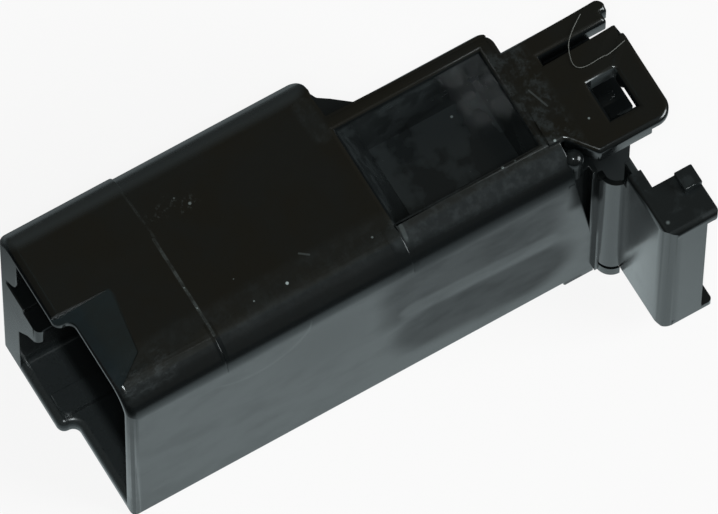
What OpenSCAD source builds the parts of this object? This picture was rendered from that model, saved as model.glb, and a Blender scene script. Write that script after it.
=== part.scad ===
// Two-way rectangular hood connector with a hinged rear retainer.
// Frame: X across the width (0 at the middle of the hood), Y from the mating
// rim towards the wire side, Z up from the base face. The origin is a point on
// the base face, datum_y behind the forward rim. The modules below measure X
// from the hood's left face and Y from the rim, and seat() moves them there.

/* [Hood] */
// Width of the hood across the mouth
hood_w = 13; // [12:0.1:14]
// Height of the housing
hood_h = 16; // [15:0.1:17]
// Length of the hood from the forward rim to the rear block
hood_l = 19.05; // [17:0.05:21]
// Distance of the origin behind the forward rim, on the base face
datum_y = 10; // [8:0.5:12]
// Setback of the right half of the rim
rim_setback = 1; // [0.5:0.1:1.5]
// Distance of the rim's step from the left wall
rim_step_x = 6.65; // [5.5:0.05:7.5]
// Outer radius of the top left long edge
edge_r_left = 1.7; // [1:0.1:2.2]
// Outer radius of the top right long edge
edge_r_right = 2.1; // [1.5:0.1:2.4]
// Outer radius of the two bottom long edges
edge_r_base = 0.5; // [0.2:0.1:0.8]
// Radius of the left front corner seen from above
front_r_left = 0.55; // [0.4:0.05:0.8]
// Radius of the right front corner seen from above
front_r_right = 0.55; // [0.4:0.05:0.8]
// Radius of the rim's upper edge
rim_edge_r = 0.48; // [0.4:0.01:0.48]
// Radius of the hood's rear left corner seen from above
rear_r_left = 1.2; // [1:0.1:2]
// Length of the forward half of the mould, which stands a little proud
mould_l = 7.2; // [6:0.1:9]
// Height of the parting step
mould_step = 0.08; // [0.04:0.01:0.12]

/* [Mouth] */
// Thickness of the left wall
wall_left = 2.15; // [1.5:0.05:2.4]
// Thickness of the right wall
wall_right = 0.7; // [0.6:0.05:1.2]
// Thickness of the top wall at the rim
wall_top = 0.7; // [0.6:0.05:1]
// Thickness of the bottom wall
wall_base = 1.15; // [0.8:0.05:1.5]
// Depth of the mouth from the forward rim
mouth_l = 16; // [14:0.1:17]
// Radius of the mouth's top right corner
mouth_r = 1.5; // [1:0.1:1.8]
// Height of the side key's upper face above the base
side_key_top = 9.95; // [9:0.05:10.4]
// Fall of the side key's sloping underside, from its tip to the wall
side_key_fall = 2.85; // [2:0.05:3.2]
// Reach of the side key from the left wall's inner face
side_key_w = 2.2; // [1.5:0.1:2.6]
// Width of the floor key
floor_key_w = 1.5; // [1:0.1:2]
// Height of the floor key above the floor
floor_key_h = 0.5; // [0.3:0.1:0.9]
// Radius of the floor's forward edge
lip_r = 0.45; // [0.3:0.01:0.48]
// Depth of the shallow ramp on top of the rim
ramp_drop = 0.28; // [0.1:0.02:0.4]

/* [Block] */
// Distance of the block's left face from the hood's left face
block_x = 3.2; // [2.5:0.1:4]
// Length of the block
block_l = 10.35; // [9:0.05:12]
// Outer radius of the block's top right edge
rail_r = 2.4; // [2.1:0.1:2.4]
// Thickness of the pocket's left and rear walls
pocket_wall = 1; // [0.8:0.05:1.5]
// Width of the pocket
pocket_w = 6.4; // [5.5:0.1:7]
// Height of the pocket's floor
pocket_z = 10.5; // [10.4:0.1:12]
// Run of the pocket's sloping front wall
pocket_run = 2.25; // [1.5:0.05:3]

/* [Rear plates] */
// Distance of the plates' left edge from the hood's left face
plate_x = 4.76; // [4:0.02:5.5]
// Length of the plates behind the block
plate_l = 6.45; // [5.5:0.05:7]
// Thickness of the plates
plate_t = 1.25; // [1:0.05:1.5]
// Radius of the plates' rear right corner
plate_r = 1.1; // [0.6:0.1:1.6]
// Width of the finger beside the slot
finger_w = 1.35; // [1:0.05:1.8]
// Width of the slot that frees the plate
slot_w = 0.45; // [0.3:0.05:0.8]
// Distance of the slot's end from the block
slot_y = 1.65; // [1:0.05:2.5]
// Length of the locking window across the plate
window_w = 2.1; // [1.8:0.05:2.6]
// Width of the locking window along the plate
window_l = 1.35; // [1.3:0.05:1.7]
// Run of the window's sloping front and right sides
window_run = 0.45; // [0.2:0.05:0.6]

/* [Core] */
// Width of the core that carries the cavities behind the block
core_w = 7.19; // [6.5:0.01:7.2]
// Length of the core behind the block
core_l = 5.15; // [4:0.05:5.3]
// Width of a terminal cavity
cavity_w = 2.7; // [2.5:0.05:2.8]
// Height of a terminal cavity
cavity_h = 6.9; // [6.7:0.05:7]
// Pitch of the two cavities
pitch = 3.45; // [3.4:0.05:3.6]

/* [Living hinge] */
// Thickness of the hinge strip
strip_t = 0.3; // [0.25:0.05:0.4]
// Height of the hinge strip
strip_h = 11.5; // [10:0.1:11.8]
// Outer radius of the hinge strip's bend
strip_r = 1; // [0.8:0.05:1.1]

/* [Retainer] */
// Height of the retainer
flap_h = 13.3; // [13:0.05:13.35]
// Thickness of the retainer's side wall
flap_wall = 0.9; // [0.7:0.05:1]
// Length of the retainer's side wall, from the hinge root to its outer face
flap_l = 5.2; // [5:0.05:5.25]
// Length of the retainer's rear wall
flap_rear_l = 2.6; // [2.2:0.1:3]
// Thickness of the top and bottom flanges
flange_t = 0.8; // [0.6:0.05:0.85]
// Radius of the retainer's upper and lower outer edges
flap_edge_r = 0.45; // [0.2:0.05:0.6]
// Height of the locking tabs
tab_h = 0.5; // [0.3:0.05:0.6]

/* [Terminals] */
// Width of the blades
blade_w = 6.3; // [6.2:0.1:6.4]
// Thickness of the blades
blade_t = 0.8; // [0.78:0.01:0.82]
// Distance of the blades' tips behind the forward rim
blade_y = 6; // [5:0.1:8]
// Sheet thickness of the terminals
sheet_t = 0.4; // [0.3:0.05:0.45]

/* [Hidden] */
$fn = 48;
far = 40;

plastic = [0.045, 0.046, 0.048];
metal = [0.72, 0.62, 0.40];

body_h = hood_h - mould_step;
block_y = hood_l;
block_end = block_y + block_l;
plate_end = block_end + plate_l;
rail_w = hood_w - block_x - pocket_wall - pocket_w;
pocket_x = block_x + pocket_wall;
pocket_end = block_end - 1.1;
block_rear_r = 0.95;

step_r = rim_setback / 2;
rim_base_r = 0.4;

key_x = wall_left + side_key_w;
key_tip_r = 0.45;
key_rise = 0.55;
key_rise_w = 0.7;
slit_z = side_key_top + key_rise - 0.15;
slit_h = 0.3;
slit_x = 1.1;
tongue_r = 2;
slit_l = 3;

floor_key_x = 4.75;
floor_key_y = 0.45;

// Core and cavities
core_x = plate_x;
core_end = block_end + core_l;
core_z = 2.2;
core_top = 13.7;
cavity_z = core_z + 0.65;
cavity_mid = core_x + core_w / 2;
cavity_xs = [cavity_mid - pitch / 2, cavity_mid + pitch / 2];
slot_gap = 0.1;
stop_l = 1.5;
cavity_y = mouth_l + stop_l;

// Rear plates
plate_right = hood_w - 0.2;
finger_end = plate_end - 0.1;

// Cheek that carries the hinge
cheek_x = hood_w - 1.6;
cheek_end = block_end + 1.4;
cheek_top = 13.95;
recess_t = 0.5;
recess_end = block_end + 1.05;
bead_in = hood_w - 0.25;
bead_out = hood_w + 0.28;
bead_y = block_end + 1.32;
bead_end = block_end + 1.8;
boss_r = 0.58;
boss_z = 15.05;
strip_z = 1.65;
strip_mid = [hood_w + 0.08, block_end + 2.5];
strip_end = block_end + 2.4;
ledge_z = 0.45;
strip_top = strip_z + strip_h;

// Retainer, drawn open, and the axis it turns on
pivot = [hood_w + 0.7, block_end + 1.7];
flap_y = block_end + 2.4;
flap_z = plate_t + 0.1;
root_x = hood_w + 0.5;
root_y = block_end + 2.75;
root_t = 0.33;
root_bead = [hood_w + 0.82, strip_end];
root_bead_w = 0.55;
flap_x = root_x + flap_l;
flap_in_y = flap_y + flap_wall;
wall_x = hood_w + 1.3;
flange_x = hood_w + 2.55;
flange_end = block_end + 5.75;
tab_x = hood_w + 2.6;
tab_w = 1.2;
tab_y = block_end + 4.65;
tab_l = 1.1;
flap_r = 1;
groove_r_in = 3.4;
groove_r_out = 5.2;
groove_t = 0.45;

window_x = plate_x + 4.07;
window_y = block_end + 3.5;

module seat() {
  translate([-hood_w / 2, -datum_y, 0]) children();
}

// Solid of length l along Y from a profile drawn in X and Z.
module along_y(y, l) {
  translate([0, y + l, 0]) rotate([90, 0, 0]) linear_extrude(l) children();
}

// Solid of length l along X from a profile drawn in Y and Z.
module along_x(x, l) {
  translate([x, 0, 0]) rotate([90, 0, 90]) linear_extrude(l) children();
}

// Sharp corner minus its inscribed quarter circle, corner at the origin.
module corner(r, sx, sy) {
  difference() {
    translate([sx > 0 ? -1 : -r, sy > 0 ? -1 : -r]) square(r + 1);
    translate([sx * r, sy * r]) circle(r);
  }
}

// Rectangle with its own radius on each corner.
module profile(w, h, tl, tr, bl, br) {
  difference() {
    square([w, h]);
    translate([0, h]) corner(tl, 1, -1);
    translate([w, h]) corner(tr, -1, -1);
    corner(bl, 1, 1);
    translate([w, 0]) corner(br, -1, 1);
  }
}

// Outline of the hood seen from above, with the S-shaped step in the rim.
module hood_plan() {
  difference() {
    union() {
      translate([0, rim_setback]) square([hood_w, hood_l - rim_setback]);
      square([rim_step_x, rim_setback + 1]);
      difference() {
        translate([rim_step_x - 0.1, rim_setback - step_r]) square([step_r + 0.1, step_r + 0.1]);
        translate([rim_step_x + step_r, rim_setback - step_r]) circle(step_r);
      }
    }
    corner(front_r_left, 1, 1);
    translate([rim_step_x, 0]) corner(step_r, -1, 1);
    translate([hood_w, rim_setback]) corner(front_r_right, -1, 1);
    translate([0, hood_l]) corner(rear_r_left, 1, -1);
  }
}

// What a rounding of radius r takes off the edge at height z that follows
// the stepped rim; up is 1 for an upper edge and -1 for a lower one.
module rim_edge(r, z, up) {
  along_x(-1, rim_step_x - step_r + 1) translate([0, z]) corner(r, 1, -up);
  along_x(rim_step_x + step_r, far) translate([rim_setback, z]) corner(r, 1, -up);
  translate([rim_step_x - step_r, step_r, z]) rotate([0, 0, -90])
    rotate_extrude(angle = 90) intersection() {
      translate([step_r, 0]) corner(r, -1, -up);
      translate([0.01, -2]) square([3, 4]);
    }
  translate([rim_step_x + step_r, step_r, z]) rotate([0, 0, 90])
    rotate_extrude(angle = 90) intersection() {
      translate([step_r, 0]) corner(r, 1, -up);
      translate([0.05, -2]) square([3, 4]);
    }
}

// What the rim's rounding takes off round a long edge of radius r.
module rim_round(x, y, r, turn) {
  translate([x, y, hood_h - r]) rotate([-90, 0, 0]) rotate([0, 0, turn])
    rotate_extrude(angle = 90) translate([r, 0]) corner(rim_edge_r, -1, 1);
}

module hood_outer() {
  intersection() {
    union() {
      along_y(0, mould_l)
        profile(hood_w, hood_h, edge_r_left, edge_r_right, edge_r_base, edge_r_base);
      along_y(mould_l - 0.5, hood_l - mould_l + 0.5)
        translate([mould_step, 0])
          profile(hood_w - mould_step, body_h, edge_r_left, edge_r_right,
                  edge_r_base, edge_r_base);
    }
    translate([0, 0, -1]) linear_extrude(hood_h + 2) hood_plan();
  }
}

// Hollow of the mouth, with the two keys standing in it.
module mouth() {
  difference() {
    union() {
      along_y(-1, mouth_l + 1)
        translate([wall_left, wall_base])
          profile(hood_w - wall_left - wall_right, hood_h - wall_top - wall_base,
                  0.3, mouth_r, 0.3, 0.3);
      along_y(-1, slit_l + 1) translate([slit_x, slit_z]) square([wall_left - slit_x + 0.5, slit_h]);
      along_y(-1, slit_l + 1) intersection() {
        translate([wall_left, slit_z + slit_h]) corner(tongue_r, -1, 1);
        translate([slit_x - 0.1, slit_z]) square([tongue_r, tongue_r]);
      }
      lip();
    }
    side_key();
    floor_key();
  }
}

// What the rounding of the floor's forward edge takes off.
module lip() {
  intersection() {
    rim_edge(lip_r, wall_base, 1);
    translate([wall_left, -1, 0]) cube([hood_w - wall_left - wall_right, 3, wall_base + 0.4]);
  }
}

// Rib on the left wall: sloping underside, blunt tip and a step above.
module side_key() {
  low = side_key_top - side_key_fall - 1.35;
  difference() {
    along_y(0, mouth_l + 0.5)
      polygon([
        [wall_left - 0.5, low],
        [wall_left, low + 0.1],
        [wall_left + 1, side_key_top - side_key_fall + 0.2],
        [key_x - 0.4, side_key_top - 1.85],
        [key_x, side_key_top - 1.35],
        [key_x, side_key_top],
        [wall_left + key_rise_w, side_key_top],
        [wall_left + key_rise_w, slit_z],
        [wall_left - 0.5, slit_z],
      ]);
    translate([key_x, 0, 0]) linear_extrude(hood_h) corner(key_tip_r, -1, 1);
  }
}

module floor_key() {
  difference() {
    translate([floor_key_x, floor_key_y, 0.5])
      cube([floor_key_w, 13, wall_base + floor_key_h - 0.5]);
    translate([floor_key_x + floor_key_w, floor_key_y, 0]) linear_extrude(hood_h)
      corner(0.6, -1, 1);
  }
}

// Shallow ramp that falls towards the right half of the rim.
module ramp() {
  intersection() {
    translate([0, 0, hood_h - 1]) linear_extrude(2)
      polygon([[6.0, -1], [6.2, 3.7], [10.2, 3.1], [12.4, 0.2], [12.4, -1]]);
    translate([0, 3.65, hood_h])
      rotate([atan(ramp_drop / 2.65), 0, 0]) translate([0, -6, 0]) cube([hood_w, 12, 2]);
  }
}

module block_outer() {
  difference() {
    along_y(block_y - 1.4, block_l + 1.4)
      translate([block_x, 0])
        profile(hood_w - block_x, body_h, 0.35, rail_r, edge_r_base, edge_r_base);
    translate([block_x, block_end, -1]) linear_extrude(far) corner(block_rear_r, 1, -1);
  }
}

// Web in the corner between the hood's rear face and the block.
module corner_web() {
  translate([0, 0, 0.6]) linear_extrude(body_h - 1.3)
    polygon([[1.3, block_y - 0.3], [block_x + 0.3, block_y - 0.3],
             [block_x + 0.3, block_y + 2.4], [block_x, block_y + 2.15],
             [2.2, block_y + 0.95], [1.75, block_y + 0.3], [1.3, block_y + 0.1]]);
}

module pocket() {
  slope = pocket_run / (body_h - pocket_z);
  over = 1.5;
  along_x(pocket_x, pocket_w)
    polygon([
      [block_y - slope * over, body_h + over],
      [pocket_end, body_h + over],
      [pocket_end, pocket_z],
      [block_y + pocket_run, pocket_z],
    ]);
}

// Plan of a rear plate: finger, slot, rounded corners and the slanting cut
// that leaves room for the boss.
module plate_plan() {
  difference() {
    translate([plate_x, block_end - 0.6])
      square([plate_right - plate_x, plate_l + 0.6]);
    translate([plate_right, plate_end]) corner(plate_r, -1, -1);
    translate([plate_x + finger_w, block_end + slot_y]) square([slot_w, far]);
    translate([plate_x + finger_w + slot_w, plate_end]) corner(0.45, 1, -1);
    translate([plate_x - 1, finger_end]) square([finger_w + 1.01, 2]);
    translate([plate_x, finger_end]) corner(0.5, 1, -1);
    translate([plate_x + finger_w, finger_end]) corner(0.12, -1, -1);
    polygon([[plate_right - 1.7, block_end + 0.3], [plate_right - 0.1, block_end + 1.5],
             [plate_right + 0.1, block_end + 1.75], [hood_w + 1, block_end + 1.75],
             [hood_w + 1, block_end - 1], [plate_right - 1.7, block_end - 1]]);
  }
}

// Window with sloping front and right sides, narrowest at the inner face.
module window_cut() {
  h = plate_t + 0.02;
  k = window_run / plate_t;
  translate([0, 0, -0.01]) intersection() {
    along_x(window_x, window_w + 1)
      polygon([[window_y, -0.1], [window_y + window_l, -0.1],
               [window_y + window_l, h + 0.1], [window_y - k * (h + 0.1), h + 0.1]]);
    along_y(window_y - 1, window_l + 1)
      polygon([[window_x, -0.1], [window_x + window_w, -0.1],
               [window_x + window_w + k * (h + 0.1), h + 0.1], [window_x, h + 0.1]]);
  }
}

// Path cut for the retainer's tab, from the plate's edge to the window.
module tab_groove() {
  intersection() {
    translate([pivot[0], pivot[1], -0.05]) difference() {
      cylinder(r = groove_r_out, h = groove_t + 0.15);
      translate([0, 0, -1]) cylinder(r = groove_r_in, h = groove_t + 3);
    }
    translate([window_x + 0.35, pivot[1] + 1.3, -1]) cube([far, far, 3]);
  }
}

module plate() {
  difference() {
    linear_extrude(plate_t) plate_plan();
    window_cut();
    tab_groove();
  }
}

module core() {
  difference() {
    translate([core_x, block_end - 1, core_z])
      cube([core_w, core_l + 1, core_top - core_z]);
    translate([core_x, core_end, 0]) linear_extrude(far) corner(0.25, 1, -1);
    translate([core_x + core_w, core_end, 0]) linear_extrude(far) corner(0.25, -1, -1);
    translate([core_x + core_w - 1.45, core_end - 1, 0]) cube([2, 2, far]);
    translate([core_x + 0.7, block_end + 0.6, cavity_z + cavity_h + 0.65])
      cube([core_w - 1.4, core_l, core_top - cavity_z - cavity_h - 1.3]);
  }
}

// Cheek at the right rear, where the hinge starts, with its tapering recess
// and the bead that the hinge strip grows from.
module cheek() {
  difference() {
    translate([cheek_x, block_end - 0.5, 0])
      cube([hood_w - cheek_x, cheek_end - block_end + 0.5, cheek_top]);
    along_x(hood_w - recess_t, 2)
      polygon([[block_end - 0.5, body_h], [block_end + 0.05, cheek_top - 0.6],
               [recess_end - 0.05, 6.8], [recess_end, 6.8], [recess_end, body_h]]);
  }
  translate([bead_in, cheek_end - 0.4, 0.6]) cube([hood_w - bead_in, bead_end - cheek_end + 0.4, strip_top - 0.45]);
  translate([bead_in, bead_y, 0.6]) cube([bead_out - bead_in, bead_end - bead_y, strip_top - 0.45]);
}

// Ledge on the bottom plate, below the hinge strip.
module ledge() {
  translate([0, 0, ledge_z]) linear_extrude(plate_t - ledge_z) intersection() {
    translate(strip_mid) circle(strip_r - 0.02);
    translate([hood_w - 0.8, cheek_end - 0.4]) square([3, strip_mid[1] - cheek_end + 0.4]);
  }
}

// Round-topped boss behind the block's right rear corner.
module boss() {
  translate([hood_w - 0.95, block_end + 0.32, boss_z]) sphere(r = boss_r);
  translate([hood_w - 0.95, block_end + 0.32, cheek_top - 0.5]) cylinder(r = boss_r, h = boss_z - cheek_top + 0.5);
}

module cavities() {
  for (x = cavity_xs) {
    translate([x - cavity_w / 2, cavity_y, cavity_z])
      cube([cavity_w, core_end - cavity_y + 1, cavity_h]);
    translate([x - blade_t / 2 - slot_gap, mouth_l - 1, cavity_z + (cavity_h - blade_w) / 2 - slot_gap])
      cube([blade_t + 2 * slot_gap, stop_l + 2, blade_w + 2 * slot_gap]);
  }
}

module housing() {
  color(plastic) seat() difference() {
    union() {
      difference() {
        hood_outer();
        rim_edge(rim_edge_r, hood_h, 1);
        rim_edge(rim_base_r, 0, -1);
        rim_round(edge_r_left, 0, edge_r_left, 180);
        rim_round(hood_w - edge_r_right, rim_setback, edge_r_right, 270);
        mouth();
        ramp();
      }
      block_outer();
      corner_web();
      core();
      cheek();
      boss();
      ledge();
      translate([0, 0, body_h - plate_t]) plate();
      translate([0, 0, plate_t]) mirror([0, 0, 1]) plate();
    }
    pocket();
    cavities();
  }
}

module living_hinge() {
  color(plastic) seat() translate([0, 0, strip_z]) linear_extrude(strip_h) intersection() {
    difference() {
      translate(strip_mid) circle(strip_r);
      translate(strip_mid) circle(strip_r - strip_t);
    }
    translate([bead_out, strip_end - 2]) square([2, 2]);
  }
}

// Retainer's walls seen from above, with the thinner root by the hinge.
module flap_plan() {
  difference() {
    union() {
      translate([root_x, root_y]) square([wall_x - root_x + 0.1, root_t]);
      translate([wall_x, flap_y]) square([flap_x - wall_x, flap_wall]);
      translate([flap_x - flap_wall, flap_y]) square([flap_wall, flap_rear_l]);
    }
    translate([flap_x, flap_y]) corner(flap_r, -1, 1);
  }
}

// Bead on the retainer's root, where the hinge strip ends.
module root_bead() {
  translate([root_bead[0], root_bead[1], strip_z - flap_z])
    cube([root_bead_w, root_y - root_bead[1] + 0.1, strip_h]);
}

// Block that rounds the retainer's upper and lower outer edges.
module flap_envelope() {
  intersection() {
    along_y(root_y - 2, far)
      translate([root_x - 1, 0]) profile(flap_x - root_x + 1, flap_h, 0.05, flap_edge_r, 0.05, flap_edge_r);
    along_x(root_x - 1, far)
      translate([flap_y, 0]) profile(far, flap_h, flap_edge_r - 0.1, 0.05, flap_edge_r - 0.1, 0.05);
  }
}

module flange_plan() {
  difference() {
    translate([flange_x, flap_in_y - 0.2]) square([flap_x - flange_x, flange_end - flap_in_y + 0.2]);
    translate([flap_x, flange_end]) corner(0.3, -1, -1);
  }
}

module tab() {
  along_x(tab_x, tab_w)
    polygon([[tab_y, 0], [tab_y + tab_l, 0], [tab_y + tab_l, tab_h - 0.1],
             [tab_y + tab_l - 0.1, tab_h], [tab_y, tab_h]]);
}

module rear_retainer() {
  color(plastic) seat() translate([0, 0, flap_z]) {
    intersection() {
      union() {
        linear_extrude(flap_h) flap_plan();
        linear_extrude(flange_t) flange_plan();
        translate([0, 0, flap_h - flange_t]) linear_extrude(flange_t) flange_plan();
      }
      flap_envelope();
    }
    root_bead();
    translate([0, 0, flap_h]) tab();
    mirror([0, 0, 1]) tab();
  }
}

// Folded blade with a chamfered tip, stamped body and two open barrels.
module terminal(x) {
  z_mid = cavity_z + cavity_h / 2;
  body_y = cavity_y;
  body_l = 7.5;
  body_w = cavity_w - 0.1;
  body_hgt = cavity_h - 0.1;
  base = x - body_w / 2;
  barrel_r = 1.2;
  color(metal) seat() {
    translate([x, 0, z_mid]) {
      along_x(-blade_t / 2, blade_t)
        polygon([[blade_y, -blade_w / 2 + 0.8], [blade_y, blade_w / 2 - 0.8],
                 [blade_y + 0.8, blade_w / 2], [body_y + 1.2, blade_w / 2],
                 [body_y + 1.2, -blade_w / 2], [blade_y + 0.8, -blade_w / 2]]);
    }
    difference() {
      translate([base, body_y, cavity_z]) cube([body_w, body_l, body_hgt]);
      translate([base + sheet_t, body_y + 0.9, cavity_z + sheet_t])
        cube([body_w - 2 * sheet_t, body_l, body_hgt - 2 * sheet_t]);
    }
    translate([base, body_y + body_l - 0.5, z_mid - 1.3]) cube([sheet_t, 8.5, 2.6]);
    barrel(base + barrel_r, body_y + body_l + 1.2, 3, z_mid, barrel_r);
    barrel(base + barrel_r, body_y + body_l + 5, 2.2, z_mid, barrel_r);
  }
}

module barrel(x, y, l, z, r) {
  along_y(y, l) translate([x, z]) difference() {
    circle(r);
    circle(r - sheet_t);
    translate([0, -0.45]) square([r + 1, 0.9]);
  }
}

module left_terminal() {
  terminal(cavity_xs[0]);
}

module right_terminal() {
  terminal(cavity_xs[1]);
}

housing();
living_hinge();
rear_retainer();
left_terminal();
right_terminal();
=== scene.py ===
import math

import bmesh
import bpy
from mathutils import Matrix, Vector


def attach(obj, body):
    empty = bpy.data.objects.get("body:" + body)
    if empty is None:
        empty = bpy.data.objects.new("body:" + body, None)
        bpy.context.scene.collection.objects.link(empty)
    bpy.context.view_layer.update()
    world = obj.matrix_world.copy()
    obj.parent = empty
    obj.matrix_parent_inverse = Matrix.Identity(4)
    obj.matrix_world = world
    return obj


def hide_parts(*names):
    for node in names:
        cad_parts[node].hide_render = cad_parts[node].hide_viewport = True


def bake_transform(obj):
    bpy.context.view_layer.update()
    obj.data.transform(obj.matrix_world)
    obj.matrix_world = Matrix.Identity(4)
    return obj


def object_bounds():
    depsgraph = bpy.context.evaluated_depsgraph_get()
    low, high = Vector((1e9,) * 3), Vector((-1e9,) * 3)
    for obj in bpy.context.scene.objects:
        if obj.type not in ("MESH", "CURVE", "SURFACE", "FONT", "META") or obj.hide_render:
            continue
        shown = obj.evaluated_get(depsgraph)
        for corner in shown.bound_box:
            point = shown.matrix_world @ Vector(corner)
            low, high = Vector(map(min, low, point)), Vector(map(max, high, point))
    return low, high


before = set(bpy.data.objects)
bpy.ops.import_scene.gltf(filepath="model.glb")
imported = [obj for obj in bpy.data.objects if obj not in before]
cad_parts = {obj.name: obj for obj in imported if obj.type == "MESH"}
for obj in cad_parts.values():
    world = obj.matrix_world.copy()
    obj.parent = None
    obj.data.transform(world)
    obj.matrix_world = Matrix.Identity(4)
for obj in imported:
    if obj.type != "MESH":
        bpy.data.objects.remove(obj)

cad_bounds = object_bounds()
bpy.ops.object.select_all(action="DESELECT")


# ---- Camera --------------------------------------------------------------
# A long lens well above the connector, looking down over its right front
# corner, so that the top, the right side and the rim all show.
MM = 0.001
AIM_RIGHT, AIM_UP = 19.941, 5.007  # from the rim's lower left corner, in mm across and up the view
CAMERA_DISTANCE = 0.672
LENS_BY_FRAME = 12000 / 718  # length of the lens as a multiple of the frame's width
SENSOR = 36

turn, rise, roll = (math.radians(angle) for angle in (58.79, 67.05, -0.77))
right = Vector((math.cos(turn), math.sin(turn), 0))
up = Vector((-math.sin(turn) * math.sin(rise), math.cos(turn) * math.sin(rise), math.cos(rise)))
back = Vector((math.sin(turn) * math.cos(rise), -math.cos(turn) * math.cos(rise), math.sin(rise)))
rim_corner = Vector(cad_bounds[0]) / MM
aim = (right * AIM_RIGHT + up * AIM_UP + rim_corner) * MM
bpy.ops.object.camera_add(location=aim + back * CAMERA_DISTANCE)
camera = bpy.context.object
camera.name = "camera"
across = right * math.cos(roll) - up * math.sin(roll)
upward = right * math.sin(roll) + up * math.cos(roll)
camera.rotation_euler = Matrix((across, upward, back)).transposed().to_euler()
camera.data.sensor_width = SENSOR
camera.data.lens = LENS_BY_FRAME * SENSOR
camera.data.clip_start = 0.01
camera.data.clip_end = 10
bpy.context.scene.camera = camera


# ---- Housing -------------------------------------------------------------
# One black moulding: the hood with its keyed mouth, the block with the
# pocket, and the two rear plates. It comes out of the mould with softened
# edges, a faint orange peel and a few handling marks; its colour also
# carries painted sheen, highlights and shade.
TOP = 15.92  # Z of the flat top behind the parting line, in millimetres as all places here
PARTING = -2.8  # Y of the parting line
SIDE = 6.5  # X of the right side
MERGE = 0.002  # points of the CAD mesh that are nearer than this become one
FLAT_ANGLE = 0.6  # faces that meet at less than these degrees become one
SHARP_ANGLE = 35  # degrees from which an edge is rounded
SMOOTH_ANGLE = 40  # degrees up to which the shading runs on over an edge
SHORTEST_EDGE = 0.12  # an edge that is shorter than this stays sharp
BLACK = (0.0044, 0.0054, 0.0056), (0.0048, 0.0062, 0.0066)
WARM_BLACK = (0.0064, 0.0058, 0.0038), (0.0062, 0.0064, 0.0052)
# Teal-grey of the painted sheen and highlights.
SHEEN_GREY = (0.032, 0.040, 0.042)
# Pale grey of specks, lines and painted glints.
DUST_AND_GLINT_GREY = (0.29, 0.35, 0.35)
PLASTIC_IOR = 1.5


def feed(node, **inputs):
    """Gives a node's inputs their values or links, by name, or as i0 or i1 by number."""
    for key, value in inputs.items():
        numbered = key[0] == "i" and key[1:].isdigit()
        plug = node.inputs[int(key[1:]) if numbered else key.replace("_", " ")]
        if isinstance(value, Socket):
            value.tree.links.new(value.link, plug)
        else:
            plug.default_value = value


class Socket:
    """One output of a node, so that shader maths reads as arithmetic."""

    def __init__(self, tree, link):
        self.tree, self.link = tree, link

    def node(self, kind, settings=None, out=0, **inputs):
        """A new node in this socket's tree, as the socket of one of its outputs."""
        made = self.tree.nodes.new(kind)
        for key, value in (settings or {}).items():
            setattr(made, key, value)
        feed(made, **inputs)
        return Socket(self.tree, made.outputs[out])

    def math(self, operation, *values):
        inputs = {f"i{n}": value for n, value in enumerate(values)}
        return self.node("ShaderNodeMath", {"operation": operation}, **inputs)

    def __add__(self, other):
        return self.math("ADD", self, other)

    def __radd__(self, other):
        return self.math("ADD", other, self)

    def __sub__(self, other):
        return self.math("SUBTRACT", self, other)

    def __rsub__(self, other):
        return self.math("SUBTRACT", other, self)

    def __mul__(self, other):
        return self.math("MULTIPLY", self, other)

    def __rmul__(self, other):
        return self.math("MULTIPLY", other, self)

    def size(self):
        return self.math("ABSOLUTE", self)

    def smallest(self, other):
        return self.math("MINIMUM", self, other)

    def largest(self, other):
        return self.math("MAXIMUM", self, other)

    def below(self, edge, soft):
        """1 where the value is under edge, falling to 0 over soft."""
        return self.node("ShaderNodeMapRange", {"interpolation_type": "SMOOTHSTEP"},
                         Value=self, From_Min=edge, From_Max=edge + soft, To_Min=1.0, To_Max=0.0)

    def above(self, edge, soft):
        """0 where the value is under edge, rising to 1 over soft."""
        return 1 - self.below(edge, soft)

    def noise(self, scale, detail, rough, stretch=(1, 1, 1)):
        """Soft noise over these coordinates, from 0 to 1."""
        at = self.node("ShaderNodeMapping", {"vector_type": "POINT"}, Vector=self, Scale=stretch)
        return at.node("ShaderNodeTexNoise", Vector=at, Scale=scale, Detail=detail, Roughness=rough)

    def tint(self, low, high):
        """Mixes two colours by this value."""
        low, high = (one if isinstance(one, Socket) else (*one, 1) for one in (low, high))
        return self.node("ShaderNodeMix", {"data_type": "RGBA"}, 2, i0=self, i6=low, i7=high)

    def bump(self):
        """The normal of a fine relief that has this value as its height."""
        return self.node("ShaderNodeBump", Height=self, Strength=0.25, Distance=0.02 * MM)

    def vector(self, operation, other, out="Vector"):
        return self.node("ShaderNodeVectorMath", {"operation": operation}, out, i0=self, i1=other)

    def distance(self, place):
        return self.vector("DISTANCE", place, "Value")

    def spot(self, place, radius, soft=0.5):
        """1 inside a ball at a place, fading over a share of its radius."""
        return self.distance(place).below(radius * (1 - soft), radius * soft)

    def stroke(self, start, end, width):
        """1 along the straight line between two places, fading on both sides."""
        run = Vector(end) - Vector(start)
        from_start = self.vector("SUBTRACT", start)
        share = from_start.vector("DOT_PRODUCT", tuple(run / run.length_squared), "Value")
        held = share.largest(0.0).smallest(1.0)
        nearest = self.node("ShaderNodeVectorMath", {"operation": "SCALE"}, i0=tuple(run), i3=held)
        return from_start.distance(nearest).below(width * 0.3, width * 0.3)

    def box(self, low, high, soft):
        """1 inside a box, fading to 0 over the soft margin outside it."""
        split = self.node("ShaderNodeSeparateXYZ", i0=self).link.node
        inside = None
        for axis, least, most in zip(split.outputs, low, high):
            one = Socket(self.tree, axis)
            band = one.below(most, soft) * one.above(least - soft, soft)
            inside = band if inside is None else inside * band
        return inside


def new_material(name):
    """A material, its shader, and the part's own coordinates in metres."""
    made = bpy.data.materials.new(name)
    made.use_nodes = True
    at = made.node_tree.nodes.new("ShaderNodeTexCoord")
    shader = made.node_tree.nodes["Principled BSDF"]
    return made, shader, Socket(made.node_tree, at.outputs["Object"])


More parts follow.
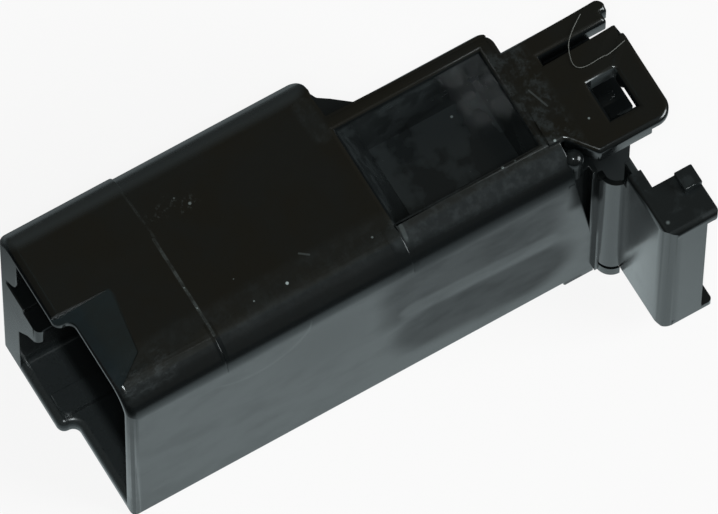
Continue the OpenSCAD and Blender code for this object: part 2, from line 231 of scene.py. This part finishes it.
def show_over(shader, share, second):
    """Shows a second shader over a material's first one, by this share."""
    first = Socket(share.tree, shader.outputs[0])
    mixed = share.node("ShaderNodeMixShader", i0=share, i1=first, i2=second)
    feed(share.tree.nodes["Material Output"], Surface=mixed)


def join(masks):
    """The largest of several masks."""
    total = masks[0]
    for one in masks[1:]:
        total = total.largest(one)
    return total


def moulded_black(name, painted_sheen=None, dust_and_glints=None, painted_shade=None):
    """Black moulded plastic, a little warmer on the flat top. Three optional
    functions take coordinates in millimetres and give masks: painted teal-grey
    sheen and highlights; pale specks and lines, some of them painted glints;
    and painted shade, where a shader without gloss shows over the glossy one."""
    made, shader, at = new_material(name)
    mm = at.node("ShaderNodeVectorMath", {"operation": "SCALE"}, i0=at, i3=1 / MM)
    cloud = mm.noise(0.26, 3.0, 0.6).above(0.35, 0.3)
    grain = mm.noise(5.2, 2.0, 0.6)
    sink = mm.noise(0.17, 1.0, 0.4)
    smear = mm.noise(0.42, 4.0, 0.65, (1.0, 0.45, 1.0))
    flat_top = mm.box((-7, -11, TOP - 0.08), (6, 30, 16.2), 0.08)
    colour = flat_top.tint(cloud.tint(*BLACK), cloud.tint(*WARM_BLACK))
    rough = 0.19 + smear.above(0.5, 0.2) * 0.03 + (grain - 0.5) * 0.04
    # Painted sheen and highlights: teal-grey over the black, a little rougher.
    if painted_sheen is not None:
        spread = painted_sheen(mm)
        colour = spread.tint(colour, SHEEN_GREY)
        rough = rough + spread * 0.12
    # Pale specks and lines, and painted glints: pale grey over the black.
    if dust_and_glints is not None:
        specks = dust_and_glints(mm)
        colour = specks.tint(colour, DUST_AND_GLINT_GREY)
        rough = rough.largest(specks * 0.6)
    relief = (grain * 0.1 + sink * 1.5).bump()
    feed(shader, Base_Color=colour, Roughness=rough, Normal=relief, IOR=PLASTIC_IOR,
         Specular_Tint=(0.92, 1.0, 1.02, 1))
    # Painted shade: a shader without gloss shows over the glossy one by the mask, so those places
    # come out darker.
    if painted_shade is not None:
        shade_without_gloss = at.node("ShaderNodeBsdfPrincipled", Base_Color=colour, Roughness=0.5,
                       IOR=PLASTIC_IOR, Specular_IOR_Level=0.0)
        show_over(shader, painted_shade(mm), shade_without_gloss)
    return made


def moulded_copy(node, name):
    """A merged copy of a CAD solid, free of the CAD mesh's own normals. It is
    left selected and active for what is done to it next."""
    piece = bpy.data.objects.new(name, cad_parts[node].data.copy())
    bpy.context.scene.collection.objects.link(piece)
    piece.data.materials.clear()
    bpy.ops.object.select_all(action="DESELECT")
    bpy.context.view_layer.objects.active = piece
    piece.select_set(True)
    bpy.ops.mesh.customdata_custom_splitnormals_clear()
    bpy.ops.object.mode_set(mode="EDIT")
    bpy.ops.mesh.select_all(action="SELECT")
    bpy.ops.mesh.remove_doubles(threshold=MERGE * MM)
    bpy.ops.mesh.dissolve_limited(angle_limit=math.radians(FLAT_ANGLE))
    bpy.ops.object.mode_set(mode="OBJECT")
    return piece


def round_edges(piece, radius, segments, wanted=lambda p: True):
    """Rounds the sharp outer edges whose two ends pass the test, in millimetres."""
    bpy.ops.object.mode_set(mode="EDIT")
    mesh = bmesh.from_edit_mesh(piece.data)
    for part in (mesh.verts, mesh.edges, mesh.faces):
        for one in part:
            one.select = False
    for edge in mesh.edges:
        if len(edge.link_faces) != 2 or not edge.is_convex:
            continue
        sharp = edge.calc_face_angle(0) > math.radians(SHARP_ANGLE)
        long = edge.calc_length() > SHORTEST_EDGE * MM
        if sharp and long and all(wanted(end.co / MM) for end in edge.verts):
            edge.select = True
    mesh.select_flush_mode()
    bmesh.update_edit_mesh(piece.data)
    bpy.ops.mesh.bevel(offset=radius * MM, segments=segments, profile=0.5, affect="EDGES",
                       clamp_overlap=False)
    bpy.ops.object.mode_set(mode="OBJECT")


def settle_shading(piece):
    """Flat faces stay flat and the roundings carry the shine."""
    bpy.ops.object.shade_smooth_by_angle(angle=math.radians(SMOOTH_ANGLE))
    evened = piece.modifiers.new("even", "WEIGHTED_NORMAL")
    evened.keep_sharp = True
    bpy.ops.object.modifier_apply(modifier=evened.name)


def rear_top(p):
    """The top edges from the hood's rear end back, which are rounded most."""
    return p.z > TOP - 0.03 and p.y > 8.4


def clear_of_ledge(p):
    """Everything but the small ledge under the hinge strip, which stays sharp."""
    return not (p.x > SIDE - 0.1 and p.y > 20 and p.z < 2)


housing = moulded_copy("housing", "housing_moulding")
round_edges(housing, radius=0.30, segments=4, wanted=rear_top)
round_edges(housing, radius=0.09, segments=2, wanted=clear_of_ledge)
settle_shading(housing)


def housing_painted_sheen(mm):
    """Painted light in teal-grey: the pocket's inside, the mouth's lower lip, and painted
    highlights and sheen along the top's edges and corners.
    """
    patches = mm.noise(0.42, 3.0, 0.5).above(0.48, 0.10)
    patchy_noise = mm.noise(1.6, 4.0, 0.7).above(0.42, 0.25)
    blotches = mm.noise(2.4, 5.0, 0.75, (1.0, 0.5, 1.0)).above(0.42, 0.3)
    # Painted light: the pocket's inside lighter and teal-grey in patches, and the mouth's lower lip
    # lit where the lamp by the camera reaches.
    pocket = mm.box((-2.3, 8.9, 9.5), (4.1, 18.4, 15.3), 0.5) * (0.20 + patches * 0.4)
    mouth = mm.box((-4.3, -10.2, 1.0), (5.8, -8.0, 1.9), 0.8) * 0.7
    # Painted sheen along the rail's rounded top edge and over the top at the plate junction.
    rail = mm.stroke((4.8, 9.1, 15.6), (5.0, 19.0, 15.6), 2.0) * (0.22 + patchy_noise * 0.25)
    junction = mm.box((-1.5, 18.5, 15.5), (5.2, 20.2, 16.2), 0.7) * patchy_noise * 0.45
    # Painted highlights: on the front right corner, along the top left rounding, a thin line at the
    # sill, along the top right edge and on the hood's rear left corner.
    corner = mm.stroke((5.0, -9.3, 15.6), (4.9, -6.2, 15.8), 2.2) * (blotches * 0.42 + 0.05)
    left = mm.stroke((-6.0, -9.2, 15.8), (-6.0, 8.0, 15.8), 2.3) * 0.6
    sill = mm.box((2.15, 22.8, 14.4), (2.5, 24.3, 15.8), 0.08)
    edge = mm.stroke((4.4, -7.0, 15.95), (4.4, 8.3, 15.95), 2.4) * (0.07 + patchy_noise * 0.09)
    rear = mm.stroke((-4.4, 8.2, 15.9), (-2.4, 8.3, 15.9), 1.2) * (0.06 + patchy_noise * 0.16)
    return join([pocket, mouth, rail, junction, corner, left, sill, edge, rear])


def housing_dust(mm):
    """Pale specks, the patchy parting line, a few fine scratches and a faint pale line along the
    bottom of the right side.
    """
    # Each speck: its X, Y and Z, its radius, and how bright it is.
    specks = [mm.spot((x, y, z), radius) * bright for x, y, z, radius, bright in (
        (-3.2, -0.6, 15.95, 0.08, 0.2), (-2.5, 0.0, 15.95, 0.12, 0.35),
        (1.7, -2.8, 15.95, 0.08, 0.4), (2.6, -0.2, 15.95, 0.06, 0.25),
        (3.1, -2.8, 15.95, 0.09, 0.5), (4.3, 0.1, 15.95, 0.08, 0.4),
        (4.3, 2.2, 15.9, 0.12, 1.0), (4.3, 7.6, 15.9, 0.09, 0.3),
        (6.3, -3.2, 15.7, 0.12, 0.4), (-2.2, 14.9, 15.9, 0.13, 0.8),
        (4.3, 15.9, 15.9, 0.12, 0.9), (4.3, 16.7, 15.9, 0.08, 0.5),
        (4.4, 19.2, 15.9, 0.10, 0.7), (4.2, 21.5, 15.9, 0.09, 0.5),
        (-1.7, 16.3, 10.5, 0.10, 0.6))]
    broken = mm.noise(1.3, 3.0, 0.7).above(0.38, 0.25)
    line = mm.stroke((-1.6, PARTING, 15.95), (4.9, PARTING, 15.9), 0.24) * (0.03 + broken * 0.08)
    faint = mm.stroke((-4.9, -2.9, 15.95), (-1.6, -2.7, 15.95), 0.20) * broken * 0.03
    rubbed = mm.stroke((-2.9, -2.1, 15.95), (-2.5, 0.1, 15.95), 1.0).largest(
        mm.stroke((-3.3, -0.9, 15.95), (-2.6, -0.4, 15.95), 0.8))
    scuff = rubbed * mm.noise(2.2, 4.0, 0.75).above(0.54, 0.12) * 0.05
    dash = mm.stroke((3.1, 3.65, 15.95), (3.45, 4.1, 15.95), 0.14) * 0.1
    # The curved scratch is a stretch of a circle of 3.6 mm on the right side.
    ring = (mm.distance((SIDE, -1.0, 15.2)) - 3.6).size().below(0.03, 0.05)
    arc = ring * mm.box((SIDE - 0.2, -3.2, 11.0), (SIDE + 0.2, 2.3, 14.2), 0.4) * (
        0.08 + broken * 0.05)
    # A faint pale line along the bottom edge of the right side.
    hem = mm.stroke((SIDE + 0.1, -9.6, 0.5), (SIDE, 19.0, 0.5), 0.2) * (0.02 + broken * 0.03)
    notch = mm.stroke((4.5, 9.3, 15.9), (5.7, 9.2, 15.6), 0.28) * 0.1
    plate = mm.stroke((1.1, 19.5, 15.9), (2.4, 19.9, 15.9), 0.12) * 0.09
    return join(specks + [line, faint, scuff, dash, arc, hem, notch, plate])


def housing_painted_shade(mm):
    """Painted shade, where the gloss is taken away: darker patches on the right
    side, shade along its top and foot, on the core and cheek behind it, and in
    the recess under the boss; also no gloss over the step at the parting line
    and on the hood's rear right corner.
    """
    uneven = mm.noise(0.3, 3.0, 0.6, (1.0, 0.6, 1.0)) * 0.5 + 0.75
    veins = mm.noise(0.45, 4.0, 0.65, (1.0, 0.5, 1.0)).above(0.40, 0.3)
    # Painted shade: darker reflections in patches over the rear of the right side, lighter along a
    # streak, with a faint mottle, and a soft darker spot further forward.
    upper = mm.box((6.2, 8.2, 8.6), (6.8, 17.5, 13.0), 2.2) * 0.42
    lower = mm.stroke((SIDE, 10.5, 5.2), (SIDE, 16.5, 4.6), 6.2) * 0.48
    streak = mm.stroke((SIDE, 9.0, 8.6), (SIDE, 17.5, 7.8), 1.9)
    mottle = mm.box((6.2, -9.6, 0.5), (6.8, 20.5, 14.5), 0.3) * veins * 0.13
    side = upper.largest(lower) * (1 - streak * 0.6) * uneven + mottle
    front = mm.spot((SIDE, 3.5, 10.5), 5.5, 0.9) * 0.10
    # Painted shade along the top of the side over the block, at its foot and at the cheek's upper
    # end.
    shade = mm.box((6.0, 8.5, 13.6), (6.8, 19.0, 16.0), 3.0) * 0.4
    foot = mm.box((6.0, -9.8, -0.5), (6.8, 20.0, 0.35), 0.1) * 0.3
    end = mm.box((6.0, 19.6, 11.0), (6.8, 21.5, 14.6), 1.2) * 0.7
    # No gloss over the step at the parting line, which hides its bright line, and on the hood's
    # rear right corner.
    step = mm.box((4.2, -3.0, 14.4), (6.2, -2.6, 16.0), 0.1) * 0.7
    nick = mm.box((4.2, 8.2, 14.2), (6.6, 9.4, 16.0), 0.1) * 0.5
    # Painted shade on the core beside the flap and in the recess under the boss.
    core = mm.box((3.3, 19.45, 2.1), (6.1, 24.9, 14.6), 0.1) * 0.88
    recess = mm.box((5.0, 19.2, 3.0), (6.2, 20.7, 14.5), 0.15) * 0.75
    return join([side, front, shade, foot, end, step, nick, core, recess])


housing.data.materials.append(moulded_black("housing_black", housing_painted_sheen, housing_dust,
                                            housing_painted_shade))
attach(housing, "housing")
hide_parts("housing")


# ---- Lint fibre ----------------------------------------------------------
# A hair of pale lint caught on the finger and the plate. It is only dirt,
# held by nothing but the surface.
LINT_ROUTE = ((-1.4, 24.3), (-0.6, 23.0), (0.6, 22.4), (1.3, 22.4), (1.5, 23.0), (1.4, 24.0),
              (1.5, 24.4), (1.2, 25.6))
LINT_RISE = 0.07
LINT_RADIUS = 0.028

bpy.ops.curve.primitive_bezier_curve_add()
lint = bpy.context.object
lint.name = "lint_fibre"
lint.data.splines.clear()
strand = lint.data.splines.new("NURBS")
strand.points.add(len(LINT_ROUTE) - 1)
for point, (x, y) in zip(strand.points, LINT_ROUTE):
    point.co = (x * MM, y * MM, (TOP + LINT_RISE) * MM, 1)
strand.order_u = 3
strand.use_endpoint_u = True
lint.data.bevel_depth = LINT_RADIUS * MM
lint.data.bevel_resolution = 1
lint.data.resolution_u = 6
bpy.ops.object.convert(target="MESH")
lint_grey, shader, at = new_material("lint_grey")
feed(shader, Roughness=0.8,
     Base_Color=at.noise(900.0, 2.0, 0.6).tint((0.06, 0.065, 0.06), (0.13, 0.14, 0.13)))
lint.data.materials.append(lint_grey)
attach(lint, "housing")


# ---- Rear retainer -------------------------------------------------------
# The angled flap that swings in between the plates and lies along the core,
# with its short leg round the rear corner. It is moulded with the housing,
# and hangs open on its thin hinge.
def clear_of_tab(p):
    """Everything but the top flange beside the tab, where the edges lie too close."""
    return not (p.x < 9.3 and p.y > 23.9 and p.z > 14.5)


retainer = moulded_copy("rear_retainer", "retainer_moulding")
round_edges(retainer, radius=0.05, segments=2, wanted=clear_of_tab)
settle_shading(retainer)


def retainer_sheen_and_streaks(mm):
    """Painted light on the top of the flap, lighter and teal-grey in patches, and faint lighter
    streaks down it.
    """
    patches = mm.noise(0.7, 3.0, 0.6).above(0.5, 0.15)
    # Painted light: the flap's top lighter, as where it is lit.
    top = mm.box((6.9, 22.0, 14.3), (12.0, 25.3, 15.3), 0.1) * (0.12 + patches * 0.25)
    streaks = mm.noise(0.9, 3.0, 0.6, (1.0, 1.0, 0.12)).above(0.5, 0.2) * 0.06
    return top.largest(streaks)


def retainer_dust_and_glint(mm):
    """A painted highlight on the flap's corner and two specks on its face."""
    # Painted highlight: a bright dot on the flap's top corner.
    corner = mm.spot((11.3, 22.34, 14.6), 0.17, 0.9) * 0.4
    upper = mm.spot((8.7, 21.7, 12.6), 0.1) * 0.2
    lower = mm.spot((8.2, 21.6, 11.4), 0.08) * 0.2
    return join([corner, upper, lower])


retainer.data.materials.append(moulded_black("retainer_black", retainer_sheen_and_streaks, retainer_dust_and_glint))
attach(retainer, "retainer")
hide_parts("rear_retainer")


# ---- Living hinge --------------------------------------------------------
# The thin bowed strip that joins the flap to the housing. On the part it
# bends as the flap closes; here it keeps one shape. It is moulded in one with both.
hinge = moulded_copy("living_hinge", "hinge_strip")
settle_shading(hinge)
hinge.data.materials.append(moulded_black("hinge_black"))
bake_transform(hinge)
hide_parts("living_hinge")


# ---- Terminals -----------------------------------------------------------
# Two brass blade terminals, stamped and folded from sheet and pushed into
# their cavities from the rear.
def stamped_brass(name):
    """Plain brass with the fine grain of rolled sheet along the blade."""
    made, shader, at = new_material(name)
    cloud = at.noise(700.0, 3.0, 0.6)
    brushed = at.noise(2400.0, 2.0, 0.6, (1.0, 0.06, 1.0))
    feed(shader, Base_Color=cloud.tint((0.50, 0.37, 0.16), (0.62, 0.48, 0.24)),
         Roughness=0.26 + brushed * 0.2, Metallic=1.0, Normal=brushed.bump())
    return made


brass = stamped_brass("terminal_brass")
for side in ("left", "right"):
    terminal = moulded_copy(f"{side}_terminal", f"{side}_blade_terminal")
    round_edges(terminal, radius=0.05, segments=2)
    settle_shading(terminal)
    terminal.data.materials.append(brass)
    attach(terminal, "housing")
    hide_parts(f"{side}_terminal")


# ---- Table and light -----------------------------------------------------
# A plain pale table top under a small lamp by the camera, a wide soft panel
# behind and three faint ones that colour the gloss. What the gloss mirrors
# of the table is a painted reflection: there the table glows as a pale patch
# round the part that darkens further off.
MIRROR_DARK, MIRROR_PALE = (0.010, 0.012, 0.013), (0.65, 0.75, 0.77)
CAMERA_GLOW = 0.88  # share of plain white in what the camera sees of the table

bpy.ops.mesh.primitive_plane_add(size=6, location=(0, 0.008, -0.02 * MM))
table = bpy.context.object
table.name = "table_top"
table_white, shader, at = new_material("table_white")
feed(shader, Base_Color=(0.7, 0.7, 0.7, 1), Roughness=0.9, Specular_IOR_Level=0.0)
mirrored = at.node("ShaderNodeLightPath", out="Is Glossy Ray")
seen = at.node("ShaderNodeLightPath", out="Is Camera Ray") * CAMERA_GLOW + mirrored
under_part = at.spot((0.012, 0, 0), 0.038, 0.63)
left_of_part = at.spot((-0.080, 0.004, 0), 0.078, 0.5) * 0.7
patch = under_part.largest(left_of_part).tint(MIRROR_DARK, MIRROR_PALE)
glow = at.node("ShaderNodeEmission", Color=mirrored.tint((1, 1, 1), patch), Strength=1.0)
show_over(shader, seen, glow)
table.data.materials.append(table_white)

centre = Vector((0.001, 0.008, 0.008))


def panel(name, direction, distance, size, glow, tint=(1, 1, 1)):
    """A soft panel of a given radiance, turned to face the connector."""
    place = centre + Vector(direction).normalized() * distance
    bpy.ops.object.light_add(type="AREA", location=place)
    lamp = bpy.context.object
    lamp.name = name
    lamp.data.shape = "RECTANGLE"
    lamp.data.size, lamp.data.size_y = size
    lamp.data.energy = glow * math.pi * size[0] * size[1]
    lamp.data.color = tint
    lamp.rotation_euler = (place - centre).to_track_quat("Z", "Y").to_euler()


# Name, direction from the part, distance and size in metres, radiance, tint.
panel("key_panel", (0.55, 0.72, 0.42), 0.9, (0.5, 0.5), 11.0)
panel("right_panel", (0.63, 0.20, 0.75), 0.7, (0.16, 0.2), 0.06)
panel("ramp_panel", (-0.332, -0.02, 0.955), 0.7, (0.08, 0.06), 0.5, (0.35, 0.8, 1.0))
panel("streak_lamp", (0.27, 0.202, 0.94), 0.7, (0.26, 0.15), 0.13, (0.75, 0.95, 1.0))
panel("camera_lamp", back, 0.66, (0.06, 0.06), 160.0)

world = bpy.data.worlds.new("bench")
bpy.context.scene.world = world
world.use_nodes = True
feed(world.node_tree.nodes["Background"], Color=(1.0, 0.97, 0.86, 1), Strength=0.10)
bpy.context.scene.view_settings.view_transform = "Standard"
